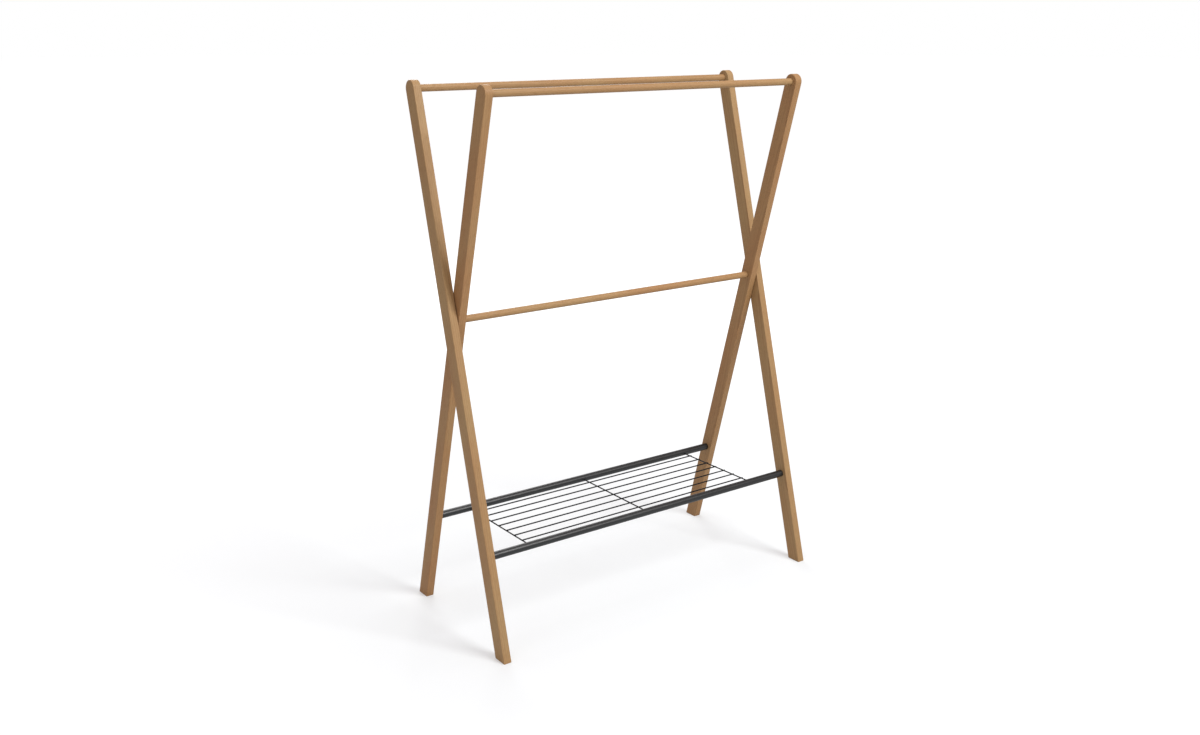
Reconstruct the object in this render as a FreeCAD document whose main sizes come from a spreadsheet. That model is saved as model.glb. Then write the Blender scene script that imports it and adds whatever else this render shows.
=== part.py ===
import FreeCAD, Part
import math
import os
import Sketcher

# Folding clothes rack.  Two wooden frames cross like scissors and turn on one
# axle: the outer frame leans from the front feet up to the rear hanging rail,
# the inner frame from the rear feet up to the front hanging rail.  A wire shelf
# is hinged on the inner frame's low tube and hooks on to the outer frame's.
# X runs along the rails, Y from front to back, Z up; the floor is at Z = 0.

SIZES = {
    # Overall
    "rack_height": 1540.0,
    "rack_width": 1144.0,
    "top_spread": 326.0,      # between the axes of the two hanging rails
    "foot_spread": 485.0,     # between the leg centre lines at the floor
    # Legs
    "leg_width": 45.0,
    "leg_thick": 24.0,
    "leg_edge": 2.0,          # rounding of the long edges
    "leg_gap": 1.2,           # between an inner leg and an outer leg
    # Wooden rails
    "rail_dia": 20.0,
    "axle_rail_dia": 20.0,    # the middle rail, on the axle
    "rail_seat": 14.0,        # depth of the blind hole that a rail is glued in
    "glue_gap": 0.05,
    "rail_chamfer": 1.0,
    "bar_chamfer": 0.4,       # at the ends of wires, pins and pegs
    # Axle
    "pin_dia": 8.0,
    "pin_grip": 40.0,         # length held inside the middle rail
    "pin_reach": 16.0,        # depth of the hole in the outer leg
    "run_gap": 0.05,          # radial clearance of a turning fit
    "end_play": 0.5,
    "washer_dia": 22.0,
    "washer_play": 0.4,
    # Steel tubes that carry the shelf
    "tube_dia": 22.0,
    "tube_wall": 1.5,
    "tube_height": 277.0,
    "tube_play": 0.5,         # end clearance of the tube that turns
    "plug_length": 24.0,
    "peg_dia": 6.0,
    "peg_seat": 14.0,         # depth of the hole in the leg
    "peg_grip": 16.0,         # depth of the hole in the plug
    # Wire shelf
    "wire_dia": 4.0,
    "wire_pitch": 42.0,
    "wire_overhang": 2.0,     # of a long wire past the end cross wire's axis
    "weld_sink": 2.0,         # of a long wire into a cross wire
    "grid_inset": 105.0,      # from the inner leg to the end cross wire
    "wire_entry": 3.5,        # of a cross wire into the hinged tube
    "hook_gap": 7.8,          # between the fixed tube and the hook
    "hook_bend": 3.5,         # radius of the hook's bend, at the wire's axis
    # Catch lugs on the fixed tube
    "lug_width": 12.0,
    "lug_thick": 2.0,
    "lug_rise": 0.25,         # of the lug's underside above the tube's
    "lug_play": 0.5,
}

LONG_WIRES_EACH_SIDE = 3
LEAST_CUT = 1.0               # cubic millimetres that any hole must remove

doc = FreeCAD.newDocument("ClothesRack")
parts = []


def make_sheet():
    """Keep every driving dimension in one spreadsheet, one alias for each."""
    sheet = doc.addObject("Spreadsheet::Sheet", "Sizes")
    for row, (name, value) in enumerate(SIZES.items(), start=1):
        sheet.set("A%d" % row, name)
        sheet.set("B%d" % row, repr(value))
        sheet.setAlias("B%d" % row, name)
    return sheet


def make_layout():
    """Work out the places that several pieces share."""
    layout = doc.addObject("App::VarSet", "Layout")
    places = (
        ("App::PropertyFloat", "rail_height",
         "Sizes.rack_height - Sizes.leg_width / 2"),
        ("App::PropertyAngle", "lean",
         "atan((Sizes.top_spread + Sizes.foot_spread) / 2 / Layout.rail_height)"),
        ("App::PropertyFloat", "axle_height",
         "Layout.rail_height * Sizes.foot_spread / (Sizes.top_spread + Sizes.foot_spread)"),
        ("App::PropertyFloat", "rail_reach",
         "(Layout.rail_height - Layout.axle_height) / cos(Layout.lean)"),
        ("App::PropertyFloat", "tube_reach",
         "(Layout.axle_height - Sizes.tube_height) / cos(Layout.lean)"),
        ("App::PropertyFloat", "tube_offset",
         "Sizes.foot_spread / 2 - Sizes.tube_height * tan(Layout.lean)"),
        ("App::PropertyFloat", "outer_span",
         "Sizes.rack_width / 2 - Sizes.leg_thick"),
        ("App::PropertyFloat", "inner_span",
         "Layout.outer_span - Sizes.leg_gap - Sizes.leg_thick"),
        ("App::PropertyFloat", "tube_radius", "Sizes.tube_dia / 2"),
        ("App::PropertyFloat", "wire_radius", "Sizes.wire_dia / 2"),
        ("App::PropertyFloat", "cross_place", "Layout.inner_span - Sizes.grid_inset"),
        # The lug's floor, and the hook's two lengths, all from the tube's axis
        ("App::PropertyFloat", "lug_floor",
         "Layout.tube_radius - Sizes.lug_rise - Sizes.lug_thick"),
        ("App::PropertyFloat", "hook_place",
         "Layout.tube_radius + Sizes.hook_gap + Layout.wire_radius"),
        ("App::PropertyFloat", "hook_drop",
         "Layout.lug_floor - Sizes.lug_play - Layout.wire_radius - Sizes.hook_bend"),
        ("App::PropertyFloat", "wire_start",
         "Layout.tube_offset - Layout.tube_radius + Sizes.wire_entry"),
    )
    for kind, name, formula in places:
        layout.addProperty(kind, name)
        layout.setExpression(name, formula)
        doc.recompute()
    return layout


def value_of(formula):
    """Value of a formula over the sheet and the layout, as a plain number."""
    result = layout.evalExpression(formula)
    return float(getattr(result, "Value", result))


def new_body(label):
    """Start a sub-part; its label is also the name of its file."""
    body = doc.addObject("PartDesign::Body", label)
    body.Label = label
    parts.append(body)
    return body


def place(body, along, across, up, axis=None, turn="0"):
    """Bind a sub-part's position, and its turn about one axis, to formulas."""
    if axis is not None:
        start = FreeCAD.Rotation(axis, value_of(turn))
        body.Placement = FreeCAD.Placement(FreeCAD.Vector(), start)
        body.setExpression("Placement.Rotation.Angle", turn)
    for letter, formula in zip("xyz", (along, across, up)):
        body.setExpression("Placement.Base." + letter, formula)


def new_sketch(body, plane, name):
    """Attach a sketch to one of the body's own origin planes."""
    sketch = body.newObject("Sketcher::SketchObject", name)
    for feature in body.Origin.OriginFeatures:
        if feature.Role == plane:
            sketch.AttachmentSupport = [(feature, "")]
    sketch.MapMode = "FlatFace"
    return sketch


def pin_point(sketch, edge, end, first, second):
    """Hold one end of an edge at two formulas, measured from the origin."""
    for kind, formula in (("DistanceX", first), ("DistanceY", second)):
        rule = Sketcher.Constraint(kind, -1, 1, edge, end, value_of(formula))
        index = sketch.addConstraint(rule)
        name = "%s_%d_%d" % (kind, edge, end)
        sketch.renameConstraint(index, name)
        sketch.setExpression("Constraints." + name, formula)


def add_line(sketch, start, finish):
    """Add a line from formulas for its two ends; only its start is held."""
    ends = [FreeCAD.Vector(value_of(a), value_of(b), 0) for a, b in (start, finish)]
    edge = sketch.addGeometry(Part.LineSegment(*ends), False)
    pin_point(sketch, edge, 1, *start)
    return edge


def outline(sketch, corners):
    """Close straight lines through a ring of corners."""
    first = None
    for corner, following in zip(corners, corners[1:] + corners[:1]):
        edge = add_line(sketch, corner, following)
        if first is None:
            first = edge
        else:
            sketch.addConstraint(Sketcher.Constraint("Coincident", edge - 1, 2, edge, 1))
    sketch.addConstraint(Sketcher.Constraint("Coincident", edge, 2, first, 1))


def add_circle(sketch, first, second, diameter):
    """Add a circle held at two formulas, with a bound diameter."""
    centre = FreeCAD.Vector(value_of(first), value_of(second), 0)
    radius = value_of(diameter) / 2
    normal = FreeCAD.Vector(0, 0, 1)
    edge = sketch.addGeometry(Part.Circle(centre, normal, radius), False)
    pin_point(sketch, edge, 3, first, second)
    index = sketch.addConstraint(Sketcher.Constraint("Diameter", edge, 2 * radius))
    sketch.renameConstraint(index, "Diameter_%d" % edge)
    sketch.setExpression("Constraints.Diameter_%d" % edge, diameter)


def add_pad(body, sketch, length, reverse=False):
    """Pad a sketch by a bound length."""
    pad = body.newObject("PartDesign::Pad", "Pad")
    pad.Profile = sketch
    pad.setExpression("Length", length)
    pad.Reversed = reverse
    doc.recompute()
    return pad


def bore(body, first, second, diameter, depth, side):
    """Sink a round hole, from the plane X = 0 outwards, and check that it cuts."""
    before = body.Shape.Volume
    sketch = new_sketch(body, "YZ_Plane", "BoreSketch")
    add_circle(sketch, first, second, diameter)
    hole = body.newObject("PartDesign::Pocket", "Bore")
    hole.Profile = sketch
    hole.setExpression("Length", depth)
    hole.Reversed = side > 0
    doc.recompute()
    if before - body.Shape.Volume < LEAST_CUT:
        raise ValueError("A bore in %s removed nothing" % body.Label)


def turned(label, half_outline):
    """A round piece about its own X axis, from half of its lengthwise section."""
    body = new_body(label)
    sketch = new_sketch(body, "XZ_Plane", "Section")
    outline(sketch, half_outline)
    spin = body.newObject("PartDesign::Revolution", "Spin")
    spin.Profile = sketch
    spin.ReferenceAxis = (sketch, ["H_Axis"])
    spin.Angle = 360.0
    doc.recompute()
    return body


def rod(label, length, radius, edge="Sizes.bar_chamfer"):
    """A plain round bar with chamfered ends."""
    return turned(label, [
        ("0", "0"), ("0", "%s - %s" % (radius, edge)), (edge, radius),
        ("%s - %s" % (length, edge), radius), (length, "%s - %s" % (radius, edge)),
        (length, "0"),
    ])


def sides():
    """The two ends of the rack, as a name and a sign along X."""
    return (("left", -1), ("right", 1))


def place_at_end(body, side, start, across, up):
    """Set a round piece so that it runs outwards from a start along X."""
    turn = "0" if side > 0 else "180"
    place(body, "%d * (%s)" % (side, start), across, up, FreeCAD.Vector(0, 0, 1), turn)


def leg_outline(body, foot_side):
    """Leg from its slanted foot to its round top, with the axle at the origin."""
    sketch = new_sketch(body, "YZ_Plane", "LegOutline")
    half = "Sizes.leg_width / 2"
    foot = "-(Layout.axle_height %s " + half + " * sin(Layout.lean)) / cos(Layout.lean)"
    near = foot % ("+" if foot_side < 0 else "-")
    far = foot % ("-" if foot_side < 0 else "+")
    add_line(sketch, ("-" + half, "Layout.rail_reach"), ("-" + half, near))
    add_line(sketch, ("-" + half, near), (half, far))
    add_line(sketch, (half, far), (half, "Layout.rail_reach"))
    centre = FreeCAD.Vector(0, value_of("Layout.rail_reach"), 0)
    ring = Part.Circle(centre, FreeCAD.Vector(0, 0, 1), value_of(half))
    top = sketch.addGeometry(Part.ArcOfCircle(ring, 0.0, math.pi), False)
    sketch.addConstraint(Sketcher.Constraint("Coincident", 0, 2, 1, 1))
    sketch.addConstraint(Sketcher.Constraint("Coincident", 1, 2, 2, 1))
    sketch.addConstraint(Sketcher.Constraint("Coincident", 2, 2, top, 1))
    sketch.addConstraint(Sketcher.Constraint("Coincident", top, 2, 0, 1))
    pin_point(sketch, top, 3, "0", "Layout.rail_reach")
    return sketch


def round_long_edges(body, pad):
    """Round the edges along the leg and around its top, but not at the foot."""
    names = []
    for number, edge in enumerate(pad.Shape.Edges, start=1):
        box = edge.BoundBox
        if box.XLength < 0.001 and box.ZMax > 0:
            names.append("Edge%d" % number)
    rounding = body.newObject("PartDesign::Fillet", "LongEdges")
    rounding.Base = (pad, names)
    rounding.setExpression("Radius", "Sizes.leg_edge")
    doc.recompute()


def make_leg(label, side, lean_sign, span):
    """A leg with the blind holes for its rail, its axle and its tube peg."""
    body = new_body(label)
    sketch = leg_outline(body, lean_sign)
    pad = add_pad(body, sketch, "Sizes.leg_thick", reverse=side < 0)
    round_long_edges(body, pad)
    fit = " + 2 * Sizes.glue_gap"
    bore(body, "0", "Layout.rail_reach", "Sizes.rail_dia" + fit, "Sizes.rail_seat", side)
    bore(body, "0", "-Layout.tube_reach", "Sizes.peg_dia" + fit, "Sizes.peg_seat", side)
    place(body, "%d * Layout.%s" % (side, span), "0", "Layout.axle_height",
          FreeCAD.Vector(1, 0, 0), "%d * Layout.lean" % lean_sign)
    return body


def make_legs():
    """Four legs; the axle ends in the outer pair and passes through the inner."""
    for end, side in sides():
        outer = make_leg("outer_leg_" + end, side, -1, "outer_span")
        bore(outer, "0", "0", "Sizes.pin_dia + 2 * Sizes.run_gap", "Sizes.pin_reach", side)
        inner = make_leg("inner_leg_" + end, side, 1, "inner_span")
        bore(inner, "0", "0", "Sizes.pin_dia + 2 * Sizes.glue_gap", "Sizes.leg_thick", side)
        bore(inner, "0", "0", "Sizes.axle_rail_dia + 2 * Sizes.glue_gap",
             "Sizes.rail_seat", side)


def make_hanging_rails():
    """The rear rail joins the outer legs and the front rail the inner legs."""
    for label, span, sign in (("rear_hanging_rail", "outer_span", 1),
                              ("front_hanging_rail", "inner_span", -1)):
        reach = "(Layout.%s + Sizes.rail_seat)" % span
        body = rod(label, "2 * " + reach, "Sizes.rail_dia / 2", "Sizes.rail_chamfer")
        place(body, "-" + reach, "%d * Sizes.top_spread / 2" % sign, "Layout.rail_height")


def make_axle():
    """Middle rail with a steel pin and a washer at each end."""
    reach = "(Layout.inner_span + Sizes.rail_seat)"
    pin_hole = "Sizes.pin_dia / 2 + Sizes.glue_gap"
    outside = "Sizes.axle_rail_dia / 2"
    body = turned("middle_rail", [
        ("0", pin_hole), ("0", outside),
        ("2 * " + reach, outside), ("2 * " + reach, pin_hole),
        ("2 * " + reach + " - Sizes.pin_grip", pin_hole),
        ("2 * " + reach + " - Sizes.pin_grip", "0"),
        ("Sizes.pin_grip", "0"), ("Sizes.pin_grip", pin_hole),
    ])
    place(body, "-" + reach, "0", "Layout.axle_height")
    length = ("(Sizes.pin_grip + Sizes.leg_thick - Sizes.rail_seat + Sizes.leg_gap"
              " + Sizes.pin_reach - Sizes.end_play)")
    thick = "(Sizes.leg_gap - Sizes.washer_play)"
    for end, side in sides():
        pin = rod("axle_pin_" + end, length, "Sizes.pin_dia / 2")
        place_at_end(pin, side, reach + " - Sizes.pin_grip", "0", "Layout.axle_height")
        washer = turned("axle_washer_" + end, [
            ("0", "Sizes.pin_dia / 2 + Sizes.run_gap"), ("0", "Sizes.washer_dia / 2"),
            (thick, "Sizes.washer_dia / 2"), (thick, "Sizes.pin_dia / 2 + Sizes.run_gap"),
        ])
        place_at_end(washer, side, "Layout.inner_span + Sizes.leg_thick", "0",
                     "Layout.axle_height")


def make_tube(label, reach, across):
    """A straight steel tube between two legs, centred on the rack."""
    hollow = "Layout.tube_radius - Sizes.tube_wall"
    body = turned(label, [
        ("0", hollow), ("0", "Layout.tube_radius"),
        ("2 * " + reach, "Layout.tube_radius"), ("2 * " + reach, hollow),
    ])
    place(body, "-" + reach, across, "Sizes.tube_height")
    return body


def make_tube_ends(name, span, reach, across, fit):
    """At each end of a tube, a plug inside it and the peg that holds it."""
    outside = "(Layout.tube_radius - Sizes.tube_wall - Sizes.glue_gap)"
    hole = "(Sizes.peg_dia / 2 + %s)" % fit
    length = "Sizes.plug_length"
    depth = "(Sizes.plug_length - Sizes.peg_grip - Sizes.end_play)"
    for end, side in sides():
        plug = turned("%s_plug_%s" % (name, end), [
            ("0", "0"), ("0", outside), (length, outside), (length, hole),
            (depth, hole), (depth, "0"),
        ])
        place_at_end(plug, side, reach + " - " + length, across, "Sizes.tube_height")
        peg = rod("%s_peg_%s" % (name, end),
                  "(Sizes.peg_seat + Sizes.peg_grip + Layout.%s - %s)" % (span, reach),
                  "Sizes.peg_dia / 2")
        place_at_end(peg, side, reach + " - Sizes.peg_grip", across, "Sizes.tube_height")


def drill_for_wires(tube, reach):
    """Open one hole for each cross wire in the front wall of the hinged tube."""
    before = tube.Shape.Volume
    sketch = new_sketch(tube, "XZ_Plane", "WireHoles")
    for place_along in cross_places():
        add_circle(sketch, reach + " + " + place_along, "-Layout.wire_radius",
                   "Sizes.wire_dia + 2 * Sizes.glue_gap")
    holes = tube.newObject("PartDesign::Pocket", "WireHoles")
    holes.Profile = sketch
    holes.setExpression("Length", "Sizes.tube_dia")
    holes.Reversed = True
    doc.recompute()
    if before - tube.Shape.Volume < LEAST_CUT:
        raise ValueError("The wire holes removed nothing")


def make_tubes():
    """The rear tube turns with the shelf and the front tube is fixed."""
    reach = "(Layout.inner_span - Sizes.tube_play)"
    tube = make_tube("rear_shelf_tube", reach, "Layout.tube_offset")
    drill_for_wires(tube, reach)
    make_tube_ends("rear_tube", "inner_span", reach, "Layout.tube_offset",
                   "Sizes.run_gap")
    make_tube("front_shelf_tube", "Layout.outer_span", "-Layout.tube_offset")
    make_tube_ends("front_tube", "outer_span", "Layout.outer_span",
                   "-Layout.tube_offset", "Sizes.glue_gap")


def cross_places():
    """Places of the cross wires along X: both ends and the middle."""
    return ("-Layout.cross_place", "0", "Layout.cross_place")


def wire_path(body):
    """Line of a cross wire: straight, then a quarter bend and a short drop."""
    run = ("(Layout.wire_start + Layout.tube_offset - Layout.hook_place"
           " - Sizes.hook_bend)")
    path = new_sketch(body, "YZ_Plane", "WirePath")
    add_line(path, ("0", "0"), (run, "0"))
    centre = FreeCAD.Vector(value_of(run), value_of("Sizes.hook_bend"), 0)
    ring = Part.Circle(centre, FreeCAD.Vector(0, 0, 1), centre.y)
    bend = path.addGeometry(Part.ArcOfCircle(ring, -math.pi / 2, 0.0), False)
    tip = "(%s + Sizes.hook_bend)" % run
    drop = add_line(path, (tip, "Sizes.hook_bend"),
                    (tip, "Sizes.hook_bend + Layout.hook_drop"))
    pin_point(path, drop, 2, tip, "Sizes.hook_bend + Layout.hook_drop")
    path.addConstraint(Sketcher.Constraint("Coincident", 0, 2, bend, 1))
    path.addConstraint(Sketcher.Constraint("Coincident", bend, 2, drop, 1))
    pin_point(path, bend, 3, run, "Sizes.hook_bend")
    return path


def long_wire_steps():
    """Places of the long wires, in steps of their pitch from the middle."""
    return range(-LONG_WIRES_EACH_SIDE, LONG_WIRES_EACH_SIDE + 1)


def press_weld_seats(wire):
    """Press a seat into a cross wire for each long wire that is welded to it."""
    before = wire.Shape.Volume
    sketch = new_sketch(wire, "YZ_Plane", "WeldSeats")
    for step in long_wire_steps():
        add_circle(sketch, "%d * Sizes.wire_pitch + Layout.wire_start" % step,
                   "-(Sizes.wire_dia - Sizes.weld_sink)",
                   "Sizes.wire_dia + 2 * Sizes.glue_gap")
    seats = wire.newObject("PartDesign::Pocket", "WeldSeats")
    seats.Profile = sketch
    seats.setExpression("Length", "2 * Sizes.wire_dia")
    seats.Midplane = True
    doc.recompute()
    if before - wire.Shape.Volume < LEAST_CUT:
        raise ValueError("The weld seats of %s removed nothing" % wire.Label)


def make_cross_wires():
    """Three wires from the hinged tube to the hooks, bent down at the front."""
    for number, place_along in enumerate(cross_places(), start=1):
        body = new_body("cross_wire_%d" % number)
        section = new_sketch(body, "XZ_Plane", "WireSection")
        add_circle(section, "0", "0", "Sizes.wire_dia")
        path = wire_path(body)
        doc.recompute()
        pipe = body.newObject("PartDesign::AdditivePipe", "Wire")
        pipe.Profile = section
        pipe.Spine = (path, ["Edge1", "Edge2", "Edge3"])
        doc.recompute()
        press_weld_seats(body)
        place(body, place_along, "Layout.wire_start",
              "Sizes.tube_height - Layout.wire_radius", FreeCAD.Vector(1, 0, 0), "180")


def make_long_wires():
    """Seven wires along the rack, pressed and welded into the cross wires."""
    reach = "(Layout.cross_place + Sizes.wire_overhang)"
    up = ("Sizes.tube_height - Layout.wire_radius + Sizes.wire_dia"
          " - Sizes.weld_sink")
    for step in long_wire_steps():
        label = "long_wire_%d" % (step + LONG_WIRES_EACH_SIDE + 1)
        body = rod(label, "2 * " + reach, "Layout.wire_radius")
        place(body, "-" + reach, "%d * Sizes.wire_pitch" % step, up)


def make_lugs():
    """Bent steel lugs, welded behind the front tube, that hold the hooks."""
    back = "(Layout.hook_place + Layout.wire_radius + Sizes.lug_play)"
    top = "-(Layout.lug_floor - Layout.hook_drop)"
    below = "-(Layout.lug_floor + Sizes.lug_thick)"
    for number, place_along in enumerate(cross_places(), start=1):
        body = new_body("catch_lug_%d" % number)
        sketch = new_sketch(body, "YZ_Plane", "LugSection")
        outline(sketch, [
            ("0", below), (back + " + Sizes.lug_thick", below),
            (back + " + Sizes.lug_thick", top), (back, top),
            (back, "-Layout.lug_floor"), ("0", "-Layout.lug_floor"),
        ])
        add_pad(body, sketch, "Sizes.lug_width")
        bore(body, "0", "0", "Sizes.tube_dia + 2 * Sizes.glue_gap", "Sizes.lug_width", 1)
        place(body, place_along + " - Sizes.lug_width / 2", "-Layout.tube_offset",
              "Sizes.tube_height")


def check_document():
    """Stop if anything failed to build or any sub-part isn't one sound solid."""
    doc.recompute()
    for item in doc.Objects:
        for fault in ("Invalid", "Error"):
            if fault in item.State:
                raise ValueError("%s is %s" % (item.Label, fault))
    for body in parts:
        if body.Shape.isNull() or not body.Shape.isValid():
            raise ValueError("%s has no valid shape" % body.Label)
        if len(body.Shape.Solids) != 1:
            raise ValueError("%s isn't one solid" % body.Label)


def write_parts():
    """Write each sub-part to its own file."""
    os.makedirs("parts", exist_ok=True)
    for body in parts:
        body.Shape.exportStep("parts/%s.step" % body.Label)


make_sheet()
doc.recompute()
layout = make_layout()
make_legs()
make_hanging_rails()
make_axle()
make_tubes()
make_cross_wires()
make_long_wires()
make_lugs()
check_document()
write_parts()
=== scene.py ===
import bmesh
import bpy
import math
from mathutils import Matrix, Vector


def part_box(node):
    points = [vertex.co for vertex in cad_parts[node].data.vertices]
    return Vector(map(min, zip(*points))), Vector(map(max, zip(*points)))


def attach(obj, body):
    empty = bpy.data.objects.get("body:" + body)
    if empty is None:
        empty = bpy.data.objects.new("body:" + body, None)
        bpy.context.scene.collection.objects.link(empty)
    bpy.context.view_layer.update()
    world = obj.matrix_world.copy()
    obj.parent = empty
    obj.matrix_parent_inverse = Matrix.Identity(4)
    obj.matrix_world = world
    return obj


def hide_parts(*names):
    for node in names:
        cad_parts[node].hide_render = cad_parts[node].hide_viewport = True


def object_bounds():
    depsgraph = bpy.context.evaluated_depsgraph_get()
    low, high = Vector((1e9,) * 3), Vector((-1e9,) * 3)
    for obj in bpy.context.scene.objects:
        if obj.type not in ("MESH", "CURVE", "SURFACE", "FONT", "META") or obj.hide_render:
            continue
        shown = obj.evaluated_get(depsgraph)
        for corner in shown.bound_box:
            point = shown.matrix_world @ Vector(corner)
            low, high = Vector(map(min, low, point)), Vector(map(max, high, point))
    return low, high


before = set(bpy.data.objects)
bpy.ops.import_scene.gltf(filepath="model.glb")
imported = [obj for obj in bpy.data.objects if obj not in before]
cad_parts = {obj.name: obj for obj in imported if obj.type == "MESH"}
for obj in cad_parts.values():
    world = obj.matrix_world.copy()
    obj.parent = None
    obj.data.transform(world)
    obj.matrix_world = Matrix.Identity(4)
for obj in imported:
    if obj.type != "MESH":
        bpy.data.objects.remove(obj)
cad_box = [list(corner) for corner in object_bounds()]
scene = bpy.context.scene


# ---------------------------------------------------------------- Camera
# Seen from the front left, from a little above the hanging rails, with the
# whole rack in view and room around it.
camera_data = bpy.data.cameras.new("camera")
camera_data.sensor_width = 36.0
camera_data.lens = 36.7
camera_data.shift_x = 0.0125
camera_data.shift_y = -0.0158
camera = bpy.data.objects.new("camera", camera_data)
camera.location = (-2.1368, -2.8230, 1.6933)
looking_down = math.radians(15.02)
turned_right = math.radians(35.66)
camera.rotation_euler = (math.pi / 2 - looking_down, 0.0, -turned_right)
scene.collection.objects.link(camera)
scene.camera = camera


# ---------------------------------------------------------------- Studio
# A white floor that runs out of sight, a dim warm room and four soft boxes:
# the key high at the front right, a weak fill at the left, one above, one behind.
def soft_box(name, place, aim, size, power):
    """Put a square soft box, in metres and watts, at a place, facing a point."""
    light = bpy.data.lights.new(name, "AREA")
    light.shape = "SQUARE"
    light.size = size
    light.energy = power
    lamp = bpy.data.objects.new(name, light)
    lamp.location = place
    facing = Vector(aim) - Vector(place)
    lamp.rotation_euler = facing.to_track_quat("-Z", "Y").to_euler()
    scene.collection.objects.link(lamp)


rack_middle = (0.0, 0.0, cad_box[1][2] / 2)
soft_box("key", (1.5, -4.4, 4.8), rack_middle, size=2.6, power=275.0)
soft_box("fill", (-3.6, -1.4, 0.9), rack_middle, size=2.0, power=16.0)
soft_box("top", (0.0, 0.8, 5.2), rack_middle, size=3.0, power=58.0)
soft_box("back", (1.6, 4.4, 3.4), rack_middle, size=2.6, power=80.0)


class Value:
    """One output of a node, so that sums on it are written as sums."""

    def __init__(self, tree, socket=None):
        self.tree = tree
        self.socket = socket

    def node(self, kind, settings=None, sockets=None, output=0):
        """Add a node: first its settings, then its sockets' values or links."""
        made = self.tree.nodes.new(kind)
        for name, setting in (settings or {}).items():
            setattr(made, name, setting)
        for name, value in (sockets or {}).items():
            if isinstance(value, Value):
                self.tree.links.new(value.socket, made.inputs[name])
            else:
                made.inputs[name].default_value = value
        return Value(self.tree, made.outputs[output] if made.outputs else None)

    def maths(self, operation, *numbers):
        """Add one Math node."""
        return self.node("ShaderNodeMath", {"operation": operation},
                         dict(enumerate(numbers)))

    def __add__(self, other):
        return self.maths("ADD", self, other)

    def __sub__(self, other):
        return self.maths("SUBTRACT", self, other)

    def __rsub__(self, other):
        return self.maths("SUBTRACT", other, self)

    def __mul__(self, other):
        return self.maths("MULTIPLY", self, other)

    def __truediv__(self, other):
        return self.maths("DIVIDE", self, other)

    def __rtruediv__(self, other):
        return self.maths("DIVIDE", other, self)

    def __pow__(self, other):
        return self.maths("POWER", self, other)

    def __rpow__(self, other):
        return self.maths("POWER", other, self)

    __radd__ = __add__
    __rmul__ = __mul__


def blank_material(name):
    """Start a material with no nodes."""
    material = bpy.data.materials.new(name)
    material.use_nodes = True
    material.node_tree.nodes.clear()
    return material, Value(material.node_tree)


def mixed(start, factor, first, second):
    """Blend two colours by a factor."""
    return start.node("ShaderNodeMix", {"data_type": "RGBA"},
                      {0: factor, 6: first, 7: second}, output=2)


def add_surface(start, sockets):
    """Close a material with its one surface shader."""
    surface = start.node("ShaderNodeBsdfPrincipled", sockets=sockets)
    start.node("ShaderNodeOutputMaterial", sockets={"Surface": surface})


room_light = (0.46, 0.405, 0.405, 1.0)
backdrop = (1.0, 1.0, 1.0, 1.0)
room = bpy.data.worlds.new("room")
room.use_nodes = True
room.node_tree.nodes.clear()
scene.world = room
start = Value(room.node_tree)
seen = start.node("ShaderNodeLightPath", output="Is Camera Ray")
walls = start.node("ShaderNodeBackground", sockets={
    "Color": mixed(start, seen, room_light, backdrop)})
start.node("ShaderNodeOutputWorld", sockets={"Surface": walls})
scene.view_settings.view_transform = "Standard"

floor_radius = 60.0
ground = bmesh.new()
bmesh.ops.create_circle(ground, cap_ends=True, radius=floor_radius, segments=64)
floor_mesh = bpy.data.meshes.new("floor")
ground.to_mesh(floor_mesh)
ground.free()
floor = bpy.data.objects.new("floor", floor_mesh)
scene.collection.objects.link(floor)

# The paint glows a little, for the camera only and less under the rack, so that
# the floor is white all over and still takes the legs' soft shadows.
floor_paint, start = blank_material("floor_paint")
seen = start.node("ShaderNodeLightPath", output="Is Camera Ray")
spot = start.node("ShaderNodeTexCoord", output="Object")
distance = start.node("ShaderNodeVectorMath", {"operation": "LENGTH"}, {0: spot},
                      output="Value")
glow = start.node("ShaderNodeMapRange", sockets={
    "Value": distance, "From Min": 0.8, "From Max": 5.0, "To Min": 0.34, "To Max": 0.76})
add_surface(start, {
    "Base Color": (0.57, 0.60, 0.61, 1.0),
    "Roughness": 0.9,
    "Specular IOR Level": 0.0,
    "Emission Color": glow * seen,
    "Emission Strength": 1.0})
floor_mesh.materials.append(floor_paint)


# ---------------------------------------------------------------- Legs
# Four battens of light hardwood, planed, with a full round at the top, softly
# rounded edges and a foot sawn level with the floor.  The outer pair carries
# the rear hanging rail, the inner pair the front one.  Satin varnish.
def rgb(red, green, blue):
    """A screen colour, 0 to 255, as the linear colour that a shader takes."""
    def linear(part):
        part = part / 255
        return part / 12.92 if part <= 0.04045 else ((part + 0.055) / 1.055) ** 2.4
    return (linear(red), linear(green), linear(blue), 1.0)


def step_up(start, value, low, high):
    """0 where a pattern is under the low level, 1 over the high one."""
    return start.node("ShaderNodeMapRange", sockets={
        "Value": value, "From Min": low, "From Max": high})


def relief(start, height, strength, depth):
    """Raise and sink the surface by a pattern."""
    return start.node("ShaderNodeBump", sockets={
        "Height": height, "Strength": strength, "Distance": depth})


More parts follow.
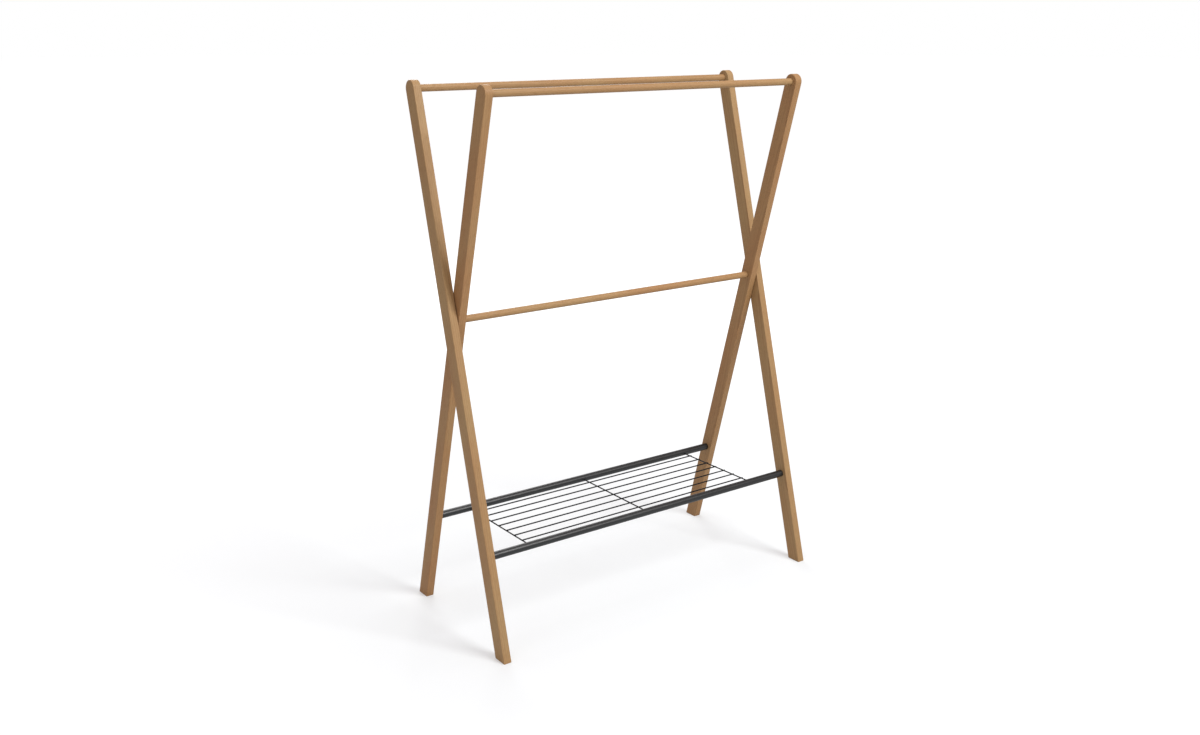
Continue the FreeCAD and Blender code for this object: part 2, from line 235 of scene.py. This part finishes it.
def varnished_wood(name, turn, middle, heart, board_tone_and_shade):
    """Wood with its growth rings round a heart that lies beside the piece.

    The tone runs from 0, honey coloured, to 0.4, a rosy one, darker and redder: partly the
    board's own tone, partly painted shade."""
    material, start = blank_material(name)
    turned = Matrix.Rotation(turn[0], 3, "X") @ Matrix.Rotation(turn[1], 3, "Y")
    shift = Vector(heart) - turned @ Vector(middle)
    place = start.node("ShaderNodeTexCoord", output="Object")
    place = start.node("ShaderNodeMapping", sockets={
        "Vector": place, "Location": shift, "Rotation": (turn[0], turn[1], 0.0)})

    def noise(across, along, detail=2.0, roughness=0.5):
        """Clouds drawn out along the grain, so many to the metre each way."""
        stretched = start.node("ShaderNodeVectorMath", {"operation": "MULTIPLY"},
                               {0: place, 1: (across, across, along)})
        return start.node("ShaderNodeTexNoise", sockets={
            "Vector": stretched, "Scale": 1.0, "Detail": detail,
            "Roughness": roughness})

    def part(axis):
        """How far a point lies from the heart along an axis."""
        return start.node("ShaderNodeSeparateXYZ", sockets={"Vector": place}, output=axis)

    ring_width = 0.0046
    sway = noise(9.0, 1.1) * 0.030 + noise(60.0, 5.0) * 0.0022
    radius = (part("X") ** 2 + part("Y") ** 2) ** 0.5 + sway
    late_wood = start.maths("FRACT", radius / ring_width) ** 4
    fibres = noise(1100.0, 14.0, 3.0, 0.6)
    streaks = noise(260.0, 2.2, 3.0, 0.55)
    pores = step_up(start, noise(1500.0, 60.0, 1.0), 0.60, 0.68)
    tone = step_up(start, noise(11.0, 5.0), 0.32, 0.68)

    honey = rgb(176, 147, 103)
    rosy = rgb(168, 120, 78)
    late_brown = rgb(138, 96, 58)
    streak_brown = rgb(148, 110, 70)
    fibre_straw = rgb(186, 155, 110)
    pore_dark = rgb(110, 74, 44)
    # Random tone patches, shifted towards the darker rosy wood; on the inner legs that
    # shift is partly painted shade.
    colour = mixed(start, tone * 0.6 + board_tone_and_shade, honey, rosy)
    colour = mixed(start, late_wood * 0.75, colour, late_brown)
    colour = mixed(start, streaks * 0.42, colour, streak_brown)
    colour = mixed(start, fibres * 0.30, colour, fibre_straw)
    colour = mixed(start, pores * (1 - late_wood) * 0.45, colour, pore_dark)
    height = fibres * 0.5 + streaks * 0.5 - pores * 0.9
    add_surface(start, {
        "Base Color": colour,
        "Roughness": 0.46 + fibres * 0.10 + pores * 0.15,
        "Normal": relief(start, height, 0.35, 0.00015),
        "Specular IOR Level": 0.30})
    return material


def centre(node):
    """Middle of a CAD node's box."""
    low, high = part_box(node)
    return (low + high) / 2


def new_piece(name, mesh_data, material, body, slot, *nodes):
    """Make an object from a bmesh, smooth it and hand it to its body."""
    bmesh.ops.recalc_face_normals(mesh_data, faces=mesh_data.faces)
    mesh = bpy.data.meshes.new(name)
    mesh_data.to_mesh(mesh)
    mesh_data.free()
    mesh.shade_smooth()
    mesh.materials.append(material)
    piece = bpy.data.objects.new(name, mesh)
    scene.collection.objects.link(piece)
    even = piece.modifiers.new("even_shading", "WEIGHTED_NORMAL")
    even.keep_sharp = True
    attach(piece, body)
    if nodes:
        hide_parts(*nodes)
    return piece


def only(items, kind):
    """The vertices, edges or faces among what an operator gives back."""
    return [item for item in items if isinstance(item, kind)]


def edges_across(mesh_data):
    """The edges that lie square to the X axis."""
    return [edge for edge in mesh_data.edges
            if abs(edge.verts[0].co.x - edge.verts[1].co.x) < 1e-6]


def thicken(outline, width):
    """Draw a flat outline out along X into a solid."""
    drawn = bmesh.ops.extrude_face_region(outline, geom=outline.faces[:])["geom"]
    bmesh.ops.translate(outline, verts=only(drawn, bmesh.types.BMVert),
                        vec=(width, 0, 0))


def ease(mesh_data, edges, width, steps):
    """Round edges over."""
    bmesh.ops.bevel(mesh_data, geom=edges, offset=width, segments=steps, profile=0.5,
                    affect="EDGES", clamp_overlap=True, material=-1)


def leg_mesh(node, rail_middle, axle_middle, planed_edge, sawn_edge):
    """Sweep the round top, run both edges down to the floor, then thicken."""
    low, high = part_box(node)
    half = high.z - rail_middle.z
    upwards = (rail_middle - axle_middle).normalized()
    across = Vector((0.0, upwards.z, -upwards.y)) * half
    leg = bmesh.new()
    top_centre = Vector((low.x, rail_middle.y, rail_middle.z))
    first = leg.verts.new(top_centre + across)
    bmesh.ops.spin(leg, geom=[first], cent=top_centre, axis=(1, 0, 0),
                   angle=math.pi, steps=28)
    leg.verts.ensure_lookup_table()
    ends = [leg.verts[0], leg.verts[-1]]
    feet = []
    for end in ends:
        drop = end.co.z / upwards.z
        foot = leg.verts.new(end.co - upwards * drop)
        leg.edges.new((end, foot))
        feet.append(foot)
    leg.edges.new(feet)
    bmesh.ops.contextual_create(leg, geom=leg.edges[:])
    thicken(leg, high.x - low.x)

    def above_floor(edge):
        return max(vertex.co.z for vertex in edge.verts) > 1e-5

    planed = [edge for edge in edges_across(leg) if above_floor(edge)]
    ease(leg, planed, planed_edge, 4)
    sawn = [edge for edge in leg.edges if not above_floor(edge)]
    ease(leg, sawn, sawn_edge, 2)
    return leg


axle = centre("middle_rail")
# The inner pair takes the darker, rosier end of the wood: partly its own board tone,
# partly painted shade for front faces that tilt down, away from the light.
for kind, rail, board_tone_and_shade in (("outer", "rear_hanging_rail", 0.0),
                          ("inner", "front_hanging_rail", 0.4)):
    rail_middle = centre(rail)
    rise = rail_middle - Vector((rail_middle.x, axle.y, axle.z))
    lean = math.atan2(rise.y, rise.z)
    for number, end in enumerate(("left", "right")):
        node = "%s_leg_%s" % (kind, end)
        leg_middle = Vector((centre(node).x, axle.y, axle.z))
        # Each batten is sawn beside the heart of a log, at a place of its own.
        heart = (0.031 + 0.017 * number, 0.044 - 0.020 * number, 0.37 * number + lean)
        timber = varnished_wood(node + "_wood", (lean, 0.0), leg_middle, heart, board_tone_and_shade)
        batten = leg_mesh(node, rail_middle, axle, planed_edge=0.0020, sawn_edge=0.0007)
        new_piece(node + "_batten", batten, timber, kind + "_frame", "wood", node)


# ---------------------------------------------------------------- Rails
# Three round dowels of the same wood, glued into blind holes in the legs: two
# hanging rails at the top and the middle rail, which holds the axle pins.
def bar_mesh(node, edge, sides):
    """A round bar along X that fills a CAD node's box, with eased ends."""
    low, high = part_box(node)
    radius = (high.z - low.z) / 2
    bar = bmesh.new()
    bmesh.ops.create_cone(
        bar, cap_ends=True, segments=sides, radius1=radius, radius2=radius,
        depth=high.x - low.x,
        matrix=Matrix.Translation(centre(node)) @ Matrix.Rotation(math.pi / 2, 4, "Y"))
    ease(bar, edges_across(bar), edge, 3)
    return bar


for number, (name, body) in enumerate((("rear_hanging_rail", "outer_frame"),
                                       ("front_hanging_rail", "inner_frame"),
                                       ("middle_rail", "inner_frame"))):
    heart = (0.022 + 0.006 * number, 0.019 - 0.011 * number, 0.8 * number)
    dowel = varnished_wood(name + "_wood", (0.0, -math.pi / 2), centre(name), heart, 0.2)
    new_piece(name + "_dowel", bar_mesh(name, edge=0.0010, sides=64), dowel, body,
              "wood", name)


# ---------------------------------------------------------------- Tubes
# Two welded steel tubes under satin black powder coat.  The rear one turns on
# pegs in the inner legs and the front one is fixed between the outer legs.
def mottle(start, place, scale, detail):
    """A cloudy pattern, with about so many clouds to a unit of its place."""
    return start.node("ShaderNodeTexNoise", sockets={
        "Vector": place, "Scale": scale, "Detail": detail})


def powder_coat(name, shade, grain, gloss):
    """Sprayed and baked coat: slightly uneven, with a fine orange peel."""
    material, start = blank_material(name)
    place = start.node("ShaderNodeTexCoord", output="Object")
    peel = mottle(start, place, grain, 2.0)
    cloud = mottle(start, place, 14.0, 3.0)
    dust = step_up(start, mottle(start, place, 420.0, 1.0), 0.70, 0.80)
    lighter = [part + 8 for part in shade]
    dust_grey = rgb(80, 80, 82)
    colour = mixed(start, cloud, rgb(*shade), rgb(*lighter))
    colour = mixed(start, dust * 0.10, colour, dust_grey)
    add_surface(start, {
        "Base Color": colour,
        "Roughness": 0.30 + cloud * 0.08 + peel * 0.06,
        "Normal": relief(start, peel + dust * 0.2, 0.30, 0.0001),
        "Specular IOR Level": gloss})
    return material


def tube_mesh(node, wall, edge):
    """Spin the section of the wall round the tube's axis and ease the rims."""
    low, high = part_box(node)
    middle = centre(node)
    radius = (high.z - low.z) / 2
    tube = bmesh.new()
    section = [tube.verts.new((x, middle.y, middle.z + r)) for x, r in (
        (low.x, radius), (high.x, radius), (high.x, radius - wall),
        (low.x, radius - wall))]
    lines = [tube.edges.new((a, b)) for a, b in zip(section, section[1:] + section[:1])]
    bmesh.ops.spin(tube, geom=section + lines, cent=middle, axis=(1, 0, 0),
                   angle=2 * math.pi, steps=56, use_merge=True)
    rims = [line for line in edges_across(tube)
            if abs(line.calc_face_angle(0.0) - math.pi / 2) < 0.1]
    ease(tube, rims, edge, 2)
    return tube


tube_coat = powder_coat("tube_coat", shade=(14, 19, 20), grain=900.0, gloss=0.7)
for name, body in (("rear_shelf_tube", "shelf"), ("front_shelf_tube", "outer_frame")):
    new_piece(name + "_steel", tube_mesh(name, wall=0.0015, edge=0.0003), tube_coat,
              body, "black_tube", name)


# ---------------------------------------------------------------- Wire shelf
# Hard drawn wire, spot welded into a grid and powder coated with the tubes.
# Three cross wires grow out of the rear tube and hook down at the front; seven
# long wires are pressed halfway into them from above.
def hooked_wire_mesh(node, bend, edge):
    """Draw a round face forwards, round the bend and down to the tip."""
    low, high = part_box(node)
    radius = (high.x - low.x) / 2
    axis_height = high.z - radius
    wire = bmesh.new()
    upright = Matrix.Translation((centre(node).x, high.y, axis_height))
    bmesh.ops.create_circle(wire, cap_ends=True, segments=20, radius=radius,
                            matrix=upright @ Matrix.Rotation(math.pi / 2, 4, "X"))

    def draw(face, vector):
        """Extrude the end face, open the old one and give the new one back."""
        drawn = bmesh.ops.extrude_face_region(wire, geom=[face])["geom"]
        bmesh.ops.translate(wire, verts=only(drawn, bmesh.types.BMVert), vec=vector)
        bmesh.ops.delete(wire, geom=[face], context="FACES_ONLY")
        return only(drawn, bmesh.types.BMFace)[0]

    run = (high.y - low.y) - radius - bend
    tip = draw(wire.faces[:][0], (0, -run, 0))
    corner = Vector((centre(node).x, low.y + radius + bend, axis_height - bend))
    swept = bmesh.ops.spin(wire, geom=[tip], cent=corner, axis=(1, 0, 0),
                           angle=math.pi / 2, steps=8)
    bmesh.ops.delete(wire, geom=[tip], context="FACES_ONLY")
    tip = only(swept["geom_last"], bmesh.types.BMFace)[0]
    tip = draw(tip, (0, 0, low.z - tip.calc_center_median().z))
    ease(wire, list(tip.edges), edge, 3)
    bmesh.ops.remove_doubles(wire, verts=wire.verts[:], dist=1e-6)
    return wire


wire_coat = powder_coat("wire_coat", shade=(10, 12, 13), grain=1400.0, gloss=0.15)
cross_wires = ["cross_wire_%d" % number for number in (1, 2, 3)]
long_wires = ["long_wire_%d" % number for number in range(1, 8)]
for name in cross_wires:
    hooked = hooked_wire_mesh(name, bend=0.0035, edge=0.0007)
    new_piece(name + "_drawn", hooked, wire_coat, "shelf", "black_wire", name)
for name in long_wires:
    straight = bar_mesh(name, edge=0.0008, sides=20)
    new_piece(name + "_drawn", straight, wire_coat, "shelf", "black_wire", name)


# ---------------------------------------------------------------- Weld spots
# Each crossing is a pressed spot weld, which leaves a little metal at its seam.
# A wider bead closes each cross wire into the rear tube.
def add_bead(mesh_data, place, size):
    """Add one flattened bead, given by its half lengths along X, Y and Z."""
    shape = Matrix.Translation(place) @ Matrix.Diagonal((*size, 1.0))
    bmesh.ops.create_uvsphere(mesh_data, u_segments=16, v_segments=10, radius=1.0,
                              matrix=shape)


crossing_bead = (0.0022, 0.0022, 0.0010)
entry_bead = (0.0027, 0.0014, 0.0027)
beads = bmesh.new()
rear_tube_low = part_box("rear_shelf_tube")[0]
for cross in cross_wires:
    wire_low, wire_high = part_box(cross)
    wire_axis = wire_high.z - (wire_high.x - wire_low.x) / 2
    for name in long_wires:
        seam_height = (centre(name).z + wire_axis) / 2
        place = Vector((centre(cross).x, centre(name).y, seam_height))
        add_bead(beads, place, crossing_bead)
    entry = Vector((centre(cross).x, rear_tube_low.y, wire_axis))
    add_bead(beads, entry, entry_bead)
new_piece("weld_spots", beads, wire_coat, "shelf", "black_wire")


# ---------------------------------------------------------------- Catch lugs
# Three strips of flat steel, bent up at the end and welded under the back of
# the front tube.  The hooks of the cross wires drop in between lip and tube.
def tube_back(tube, height):
    """Where the back of a tube lies at a height."""
    low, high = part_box(tube)
    radius = (high.z - low.z) / 2
    drop = centre(tube).z - height
    return centre(tube).y + math.sqrt(radius ** 2 - drop ** 2)


def lug_mesh(node, tube, thick, edge):
    """Extrude the strip's bent section along X, rooted in the tube, and ease it."""
    low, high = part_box(node)
    strip_top = low.z + thick
    root = tube_back(tube, strip_top) - edge
    lug = bmesh.new()
    lug.faces.new([lug.verts.new((low.x, y, z)) for y, z in (
        (low.y, low.z), (high.y, low.z), (high.y, high.z), (high.y - thick, high.z),
        (high.y - thick, strip_top), (root, strip_top))])
    thicken(lug, high.x - low.x)
    ease(lug, lug.edges[:], edge, 3)
    return lug


strip_thick = 0.0020
strip_edge = 0.0004
lug_bead = (0.0055, 0.0010, 0.0007)
bead_rise = Vector((0.0, 0.0003, 0.0002))
lug_beads = bmesh.new()
for number in (1, 2, 3):
    name = "catch_lug_%d" % number
    strip = lug_mesh(name, "front_shelf_tube", strip_thick, strip_edge)
    new_piece(name + "_strip", strip, wire_coat, "outer_frame", "black_wire", name)
    joint_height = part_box(name)[0].z + strip_thick
    joint = Vector((centre(name).x, tube_back("front_shelf_tube", joint_height),
                    joint_height))
    add_bead(lug_beads, joint + bead_rise, lug_bead)
new_piece("lug_welds", lug_beads, tube_coat, "outer_frame", "black_tube")


# ---------------------------------------------------------------- Fixings
# Zinc plated pins and washers, and moulded plugs inside the tube ends.  They
# hardly show while the rack stands, and keep their turned shapes.
def zinc_plate(name):
    """Plated turned steel, with fine lathe lines round the axis."""
    material, start = blank_material(name)
    place = start.node("ShaderNodeTexCoord", output="Object")
    lines = start.node("ShaderNodeVectorMath", {"operation": "MULTIPLY"},
                       {0: place, 1: (2600.0, 60.0, 60.0)})
    turned = mottle(start, lines, 1.0, 2.0)
    cloud = mottle(start, place, 90.0, 3.0)
    bluish_zinc = rgb(176, 178, 182)
    yellowish_zinc = rgb(206, 204, 196)
    add_surface(start, {
        "Base Color": mixed(start, cloud, bluish_zinc, yellowish_zinc),
        "Metallic": 1.0,
        "Roughness": 0.26 + turned * 0.14,
        "Normal": relief(start, turned, 0.25, 0.00005)})
    return material


def moulded_plastic(name):
    """Matt black nylon with the fine spark-eroded grain of its mould."""
    material, start = blank_material(name)
    place = start.node("ShaderNodeTexCoord", output="Object")
    grain = mottle(start, place, 1500.0, 2.0)
    flow = mottle(start, place, 60.0, 2.0)
    nylon_black = rgb(38, 38, 39)
    nylon_grey = rgb(50, 50, 51)
    add_surface(start, {
        "Base Color": mixed(start, flow, nylon_black, nylon_grey),
        "Roughness": 0.58 + grain * 0.12,
        "Normal": relief(start, grain, 0.3, 0.0001)})
    return material


def dress(node, material):
    """Give a CAD node its material."""
    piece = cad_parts[node]
    piece.data.materials.clear()
    piece.data.materials.append(material)


zinc = zinc_plate("zinc_plate")
nylon = moulded_plastic("plug_nylon")
for end in ("left", "right"):
    for name in ("axle_pin_", "axle_washer_", "rear_tube_peg_", "front_tube_peg_"):
        dress(name + end, zinc)
    for name in ("rear_tube_plug_", "front_tube_plug_"):
        dress(name + end, nylon)
